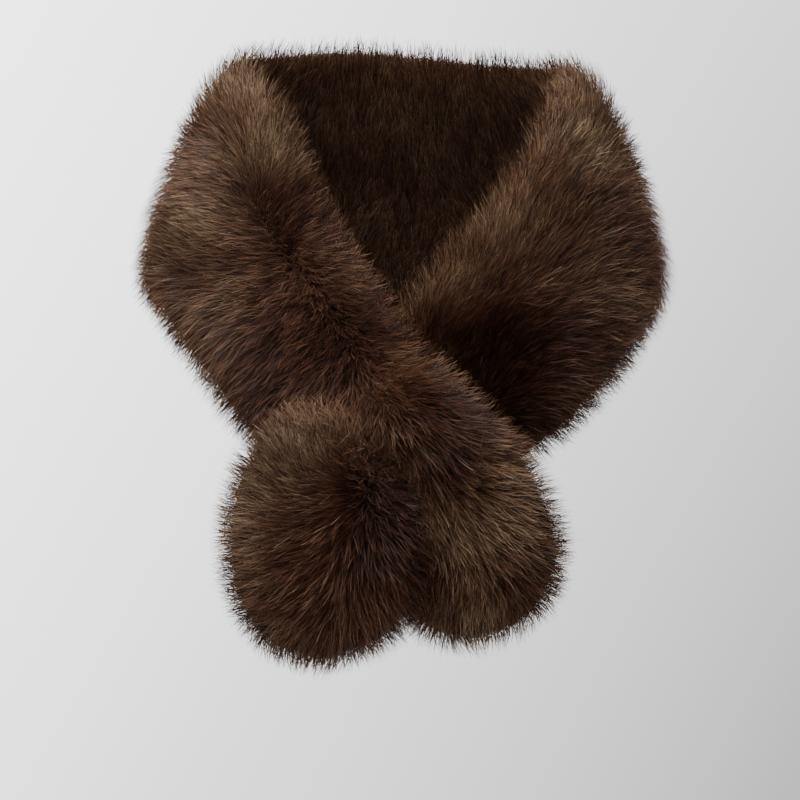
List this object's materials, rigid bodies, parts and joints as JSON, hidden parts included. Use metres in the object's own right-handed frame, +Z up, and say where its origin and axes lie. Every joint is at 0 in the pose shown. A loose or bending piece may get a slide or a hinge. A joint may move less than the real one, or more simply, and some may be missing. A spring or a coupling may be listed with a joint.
{
  "type": "fur collar wrap",
  "caption": "Deep plush fur collar wrap worn round the shoulders, one round tail pulled through a lengthwise slit in the other end on the chest.",
  "frame": {"origin": "middle of the shoulder line, under the neck, where the wearer holds the wrap up", "axes": "+Z up, -Y towards the front where the tails hang, +X towards the wearer's left"},
  "size_m": [0.515, 0.4219, 0.5989],
  "materials": {
    "fur": "deep plush fur, dark chocolate brown with lighter tips"
  },
  "bodies": {
    "root": {"slotted_tail": "fur", "slit_upper_strand": "fur", "slit_lower_strand": "fur", "slotted_front": "fur", "back": "fur", "through_front": "fur", "through_tail": "fur"}
  },
  "joints": []
}
